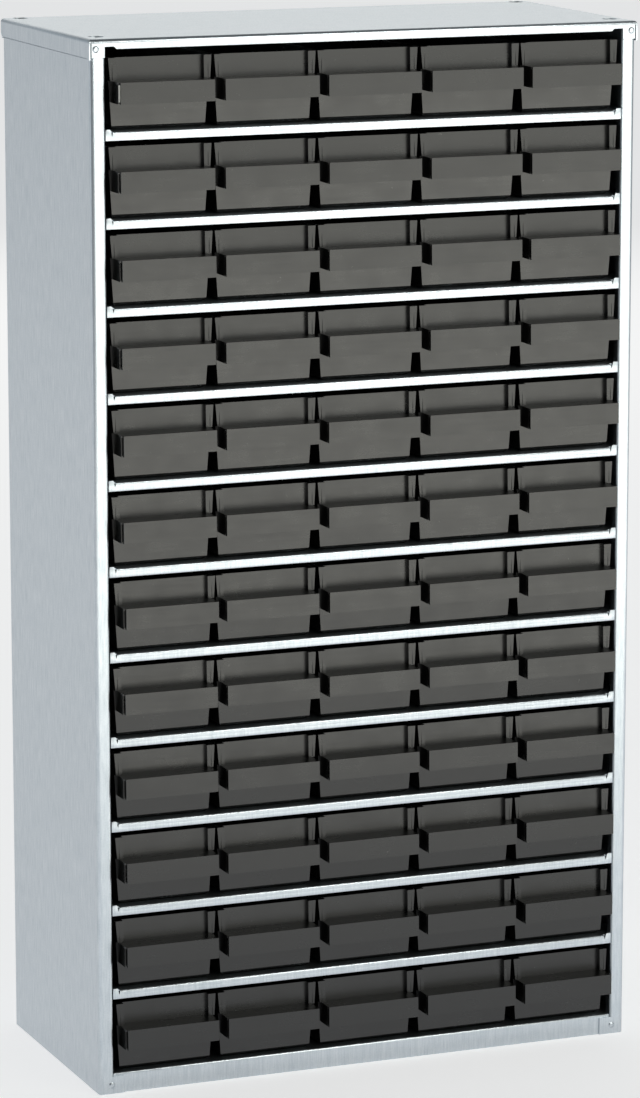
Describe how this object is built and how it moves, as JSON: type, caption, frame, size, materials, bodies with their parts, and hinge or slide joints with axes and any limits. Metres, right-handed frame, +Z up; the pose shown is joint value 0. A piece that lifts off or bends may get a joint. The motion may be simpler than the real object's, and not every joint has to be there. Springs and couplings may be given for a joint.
{
  "type": "parts bin cabinet",
  "caption": "Tall narrow steel cabinet with a grid of small plastic drawers that slide out, each with a box-shaped grip and a label slot.",
  "frame": {"origin": "on the standing surface, under the middle of the cabinet with its drawer grips", "axes": "+Z up, -Y out of the drawer fronts, +X to the right as seen from the front"},
  "size_m": [0.304, 0.1508, 0.551],
  "materials": {
    "casing_steel": "zinc-coated folded sheet steel, light blue-grey, finely grained, satin",
    "drawer_plastic": "black-grey carbon-filled moulded polypropylene, satin"
  },
  "bodies": {
    "casing": {"casing_wrap": "casing_steel", "top_cap": "casing_steel", "base_pan": "casing_steel", "shelves": "casing_steel"},
    "drawer_r01_c1": {"drawer_r01_c1": "drawer_plastic"},
    "drawer_r01_c2": {"drawer_r01_c2": "drawer_plastic"},
    "drawer_r01_c3": {"drawer_r01_c3": "drawer_plastic"},
    "drawer_r01_c4": {"drawer_r01_c4": "drawer_plastic"},
    "drawer_r01_c5": {"drawer_r01_c5": "drawer_plastic"},
    "drawer_r02_c1": {"drawer_r02_c1": "drawer_plastic"},
    "drawer_r02_c2": {"drawer_r02_c2": "drawer_plastic"},
    "drawer_r02_c3": {"drawer_r02_c3": "drawer_plastic"},
    "drawer_r02_c4": {"drawer_r02_c4": "drawer_plastic"},
    "drawer_r02_c5": {"drawer_r02_c5": "drawer_plastic"},
    "drawer_r03_c1": {"drawer_r03_c1": "drawer_plastic"},
    "drawer_r03_c2": {"drawer_r03_c2": "drawer_plastic"},
    "drawer_r03_c3": {"drawer_r03_c3": "drawer_plastic"},
    "drawer_r03_c4": {"drawer_r03_c4": "drawer_plastic"},
    "drawer_r03_c5": {"drawer_r03_c5": "drawer_plastic"},
    "drawer_r04_c1": {"drawer_r04_c1": "drawer_plastic"},
    "drawer_r04_c2": {"drawer_r04_c2": "drawer_plastic"},
    "drawer_r04_c3": {"drawer_r04_c3": "drawer_plastic"},
    "drawer_r04_c4": {"drawer_r04_c4": "drawer_plastic"},
    "drawer_r04_c5": {"drawer_r04_c5": "drawer_plastic"},
    "drawer_r05_c1": {"drawer_r05_c1": "drawer_plastic"},
    "drawer_r05_c2": {"drawer_r05_c2": "drawer_plastic"},
    "drawer_r05_c3": {"drawer_r05_c3": "drawer_plastic"},
    "drawer_r05_c4": {"drawer_r05_c4": "drawer_plastic"},
    "drawer_r05_c5": {"drawer_r05_c5": "drawer_plastic"},
    "drawer_r06_c1": {"drawer_r06_c1": "drawer_plastic"},
    "drawer_r06_c2": {"drawer_r06_c2": "drawer_plastic"},
    "drawer_r06_c3": {"drawer_r06_c3": "drawer_plastic"},
    "drawer_r06_c4": {"drawer_r06_c4": "drawer_plastic"},
    "drawer_r06_c5": {"drawer_r06_c5": "drawer_plastic"},
    "drawer_r07_c1": {"drawer_r07_c1": "drawer_plastic"},
    "drawer_r07_c2": {"drawer_r07_c2": "drawer_plastic"},
    "drawer_r07_c3": {"drawer_r07_c3": "drawer_plastic"},
    "drawer_r07_c4": {"drawer_r07_c4": "drawer_plastic"},
    "drawer_r07_c5": {"drawer_r07_c5": "drawer_plastic"},
    "drawer_r08_c1": {"drawer_r08_c1": "drawer_plastic"},
    "drawer_r08_c2": {"drawer_r08_c2": "drawer_plastic"},
    "drawer_r08_c3": {"drawer_r08_c3": "drawer_plastic"},
    "drawer_r08_c4": {"drawer_r08_c4": "drawer_plastic"},
    "drawer_r08_c5": {"drawer_r08_c5": "drawer_plastic"},
    "drawer_r09_c1": {"drawer_r09_c1": "drawer_plastic"},
    "drawer_r09_c2": {"drawer_r09_c2": "drawer_plastic"},
    "drawer_r09_c3": {"drawer_r09_c3": "drawer_plastic"},
    "drawer_r09_c4": {"drawer_r09_c4": "drawer_plastic"},
    "drawer_r09_c5": {"drawer_r09_c5": "drawer_plastic"},
    "drawer_r10_c1": {"drawer_r10_c1": "drawer_plastic"},
    "drawer_r10_c2": {"drawer_r10_c2": "drawer_plastic"},
    "drawer_r10_c3": {"drawer_r10_c3": "drawer_plastic"},
    "drawer_r10_c4": {"drawer_r10_c4": "drawer_plastic"},
    "drawer_r10_c5": {"drawer_r10_c5": "drawer_plastic"},
    "drawer_r11_c1": {"drawer_r11_c1": "drawer_plastic"},
    "drawer_r11_c2": {"drawer_r11_c2": "drawer_plastic"},
    "drawer_r11_c3": {"drawer_r11_c3": "drawer_plastic"},
    "drawer_r11_c4": {"drawer_r11_c4": "drawer_plastic"},
    "drawer_r11_c5": {"drawer_r11_c5": "drawer_plastic"},
    "drawers_r12": {"drawers_r12": "drawer_plastic"}
  },
  "joints": [
    {"name": "slide_r01_c1", "type": "slide", "parent": "casing", "child": "drawer_r01_c1", "axis": [0, -1, 0], "range_m": [0, 0.11]},
    {"name": "slide_r01_c2", "type": "slide", "parent": "casing", "child": "drawer_r01_c2", "axis": [0, -1, 0], "range_m": [0, 0.11]},
    {"name": "slide_r01_c3", "type": "slide", "parent": "casing", "child": "drawer_r01_c3", "axis": [0, -1, 0], "range_m": [0, 0.11]},
    {"name": "slide_r01_c4", "type": "slide", "parent": "casing", "child": "drawer_r01_c4", "axis": [0, -1, 0], "range_m": [0, 0.11]},
    {"name": "slide_r01_c5", "type": "slide", "parent": "casing", "child": "drawer_r01_c5", "axis": [0, -1, 0], "range_m": [0, 0.11]},
    {"name": "slide_r02_c1", "type": "slide", "parent": "casing", "child": "drawer_r02_c1", "axis": [0, -1, 0], "range_m": [0, 0.11]},
    {"name": "slide_r02_c2", "type": "slide", "parent": "casing", "child": "drawer_r02_c2", "axis": [0, -1, 0], "range_m": [0, 0.11]},
    {"name": "slide_r02_c3", "type": "slide", "parent": "casing", "child": "drawer_r02_c3", "axis": [0, -1, 0], "range_m": [0, 0.11]},
    {"name": "slide_r02_c4", "type": "slide", "parent": "casing", "child": "drawer_r02_c4", "axis": [0, -1, 0], "range_m": [0, 0.11]},
    {"name": "slide_r02_c5", "type": "slide", "parent": "casing", "child": "drawer_r02_c5", "axis": [0, -1, 0], "range_m": [0, 0.11]},
    {"name": "slide_r03_c1", "type": "slide", "parent": "casing", "child": "drawer_r03_c1", "axis": [0, -1, 0], "range_m": [0, 0.11]},
    {"name": "slide_r03_c2", "type": "slide", "parent": "casing", "child": "drawer_r03_c2", "axis": [0, -1, 0], "range_m": [0, 0.11]},
    {"name": "slide_r03_c3", "type": "slide", "parent": "casing", "child": "drawer_r03_c3", "axis": [0, -1, 0], "range_m": [0, 0.11]},
    {"name": "slide_r03_c4", "type": "slide", "parent": "casing", "child": "drawer_r03_c4", "axis": [0, -1, 0], "range_m": [0, 0.11]},
    {"name": "slide_r03_c5", "type": "slide", "parent": "casing", "child": "drawer_r03_c5", "axis": [0, -1, 0], "range_m": [0, 0.11]},
    {"name": "slide_r04_c1", "type": "slide", "parent": "casing", "child": "drawer_r04_c1", "axis": [0, -1, 0], "range_m": [0, 0.11]},
    {"name": "slide_r04_c2", "type": "slide", "parent": "casing", "child": "drawer_r04_c2", "axis": [0, -1, 0], "range_m": [0, 0.11]},
    {"name": "slide_r04_c3", "type": "slide", "parent": "casing", "child": "drawer_r04_c3", "axis": [0, -1, 0], "range_m": [0, 0.11]},
    {"name": "slide_r04_c4", "type": "slide", "parent": "casing", "child": "drawer_r04_c4", "axis": [0, -1, 0], "range_m": [0, 0.11]},
    {"name": "slide_r04_c5", "type": "slide", "parent": "casing", "child": "drawer_r04_c5", "axis": [0, -1, 0], "range_m": [0, 0.11]},
    {"name": "slide_r05_c1", "type": "slide", "parent": "casing", "child": "drawer_r05_c1", "axis": [0, -1, 0], "range_m": [0, 0.11]},
    {"name": "slide_r05_c2", "type": "slide", "parent": "casing", "child": "drawer_r05_c2", "axis": [0, -1, 0], "range_m": [0, 0.11]},
    {"name": "slide_r05_c3", "type": "slide", "parent": "casing", "child": "drawer_r05_c3", "axis": [0, -1, 0], "range_m": [0, 0.11]},
    {"name": "slide_r05_c4", "type": "slide", "parent": "casing", "child": "drawer_r05_c4", "axis": [0, -1, 0], "range_m": [0, 0.11]},
    {"name": "slide_r05_c5", "type": "slide", "parent": "casing", "child": "drawer_r05_c5", "axis": [0, -1, 0], "range_m": [0, 0.11]},
    {"name": "slide_r06_c1", "type": "slide", "parent": "casing", "child": "drawer_r06_c1", "axis": [0, -1, 0], "range_m": [0, 0.11]},
    {"name": "slide_r06_c2", "type": "slide", "parent": "casing", "child": "drawer_r06_c2", "axis": [0, -1, 0], "range_m": [0, 0.11]},
    {"name": "slide_r06_c3", "type": "slide", "parent": "casing", "child": "drawer_r06_c3", "axis": [0, -1, 0], "range_m": [0, 0.11]},
    {"name": "slide_r06_c4", "type": "slide", "parent": "casing", "child": "drawer_r06_c4", "axis": [0, -1, 0], "range_m": [0, 0.11]},
    {"name": "slide_r06_c5", "type": "slide", "parent": "casing", "child": "drawer_r06_c5", "axis": [0, -1, 0], "range_m": [0, 0.11]},
    {"name": "slide_r07_c1", "type": "slide", "parent": "casing", "child": "drawer_r07_c1", "axis": [0, -1, 0], "range_m": [0, 0.11]},
    {"name": "slide_r07_c2", "type": "slide", "parent": "casing", "child": "drawer_r07_c2", "axis": [0, -1, 0], "range_m": [0, 0.11]},
    {"name": "slide_r07_c3", "type": "slide", "parent": "casing", "child": "drawer_r07_c3", "axis": [0, -1, 0], "range_m": [0, 0.11]},
    {"name": "slide_r07_c4", "type": "slide", "parent": "casing", "child": "drawer_r07_c4", "axis": [0, -1, 0], "range_m": [0, 0.11]},
    {"name": "slide_r07_c5", "type": "slide", "parent": "casing", "child": "drawer_r07_c5", "axis": [0, -1, 0], "range_m": [0, 0.11]},
    {"name": "slide_r08_c1", "type": "slide", "parent": "casing", "child": "drawer_r08_c1", "axis": [0, -1, 0], "range_m": [0, 0.11]},
    {"name": "slide_r08_c2", "type": "slide", "parent": "casing", "child": "drawer_r08_c2", "axis": [0, -1, 0], "range_m": [0, 0.11]},
    {"name": "slide_r08_c3", "type": "slide", "parent": "casing", "child": "drawer_r08_c3", "axis": [0, -1, 0], "range_m": [0, 0.11]},
    {"name": "slide_r08_c4", "type": "slide", "parent": "casing", "child": "drawer_r08_c4", "axis": [0, -1, 0], "range_m": [0, 0.11]},
    {"name": "slide_r08_c5", "type": "slide", "parent": "casing", "child": "drawer_r08_c5", "axis": [0, -1, 0], "range_m": [0, 0.11]},
    {"name": "slide_r09_c1", "type": "slide", "parent": "casing", "child": "drawer_r09_c1", "axis": [0, -1, 0], "range_m": [0, 0.11]},
    {"name": "slide_r09_c2", "type": "slide", "parent": "casing", "child": "drawer_r09_c2", "axis": [0, -1, 0], "range_m": [0, 0.11]},
    {"name": "slide_r09_c3", "type": "slide", "parent": "casing", "child": "drawer_r09_c3", "axis": [0, -1, 0], "range_m": [0, 0.11]},
    {"name": "slide_r09_c4", "type": "slide", "parent": "casing", "child": "drawer_r09_c4", "axis": [0, -1, 0], "range_m": [0, 0.11]},
    {"name": "slide_r09_c5", "type": "slide", "parent": "casing", "child": "drawer_r09_c5", "axis": [0, -1, 0], "range_m": [0, 0.11]},
    {"name": "slide_r10_c1", "type": "slide", "parent": "casing", "child": "drawer_r10_c1", "axis": [0, -1, 0], "range_m": [0, 0.11]},
    {"name": "slide_r10_c2", "type": "slide", "parent": "casing", "child": "drawer_r10_c2", "axis": [0, -1, 0], "range_m": [0, 0.11]},
    {"name": "slide_r10_c3", "type": "slide", "parent": "casing", "child": "drawer_r10_c3", "axis": [0, -1, 0], "range_m": [0, 0.11]},
    {"name": "slide_r10_c4", "type": "slide", "parent": "casing", "child": "drawer_r10_c4", "axis": [0, -1, 0], "range_m": [0, 0.11]},
    {"name": "slide_r10_c5", "type": "slide", "parent": "casing", "child": "drawer_r10_c5", "axis": [0, -1, 0], "range_m": [0, 0.11]},
    {"name": "slide_r11_c1", "type": "slide", "parent": "casing", "child": "drawer_r11_c1", "axis": [0, -1, 0], "range_m": [0, 0.11]},
    {"name": "slide_r11_c2", "type": "slide", "parent": "casing", "child": "drawer_r11_c2", "axis": [0, -1, 0], "range_m": [0, 0.11]},
    {"name": "slide_r11_c3", "type": "slide", "parent": "casing", "child": "drawer_r11_c3", "axis": [0, -1, 0], "range_m": [0, 0.11]},
    {"name": "slide_r11_c4", "type": "slide", "parent": "casing", "child": "drawer_r11_c4", "axis": [0, -1, 0], "range_m": [0, 0.11]},
    {"name": "slide_r11_c5", "type": "slide", "parent": "casing", "child": "drawer_r11_c5", "axis": [0, -1, 0], "range_m": [0, 0.11]},
    {"name": "slide_r12", "type": "slide", "parent": "casing", "child": "drawers_r12", "axis": [0, -1, 0], "range_m": [0, 0.11]}
  ]
}
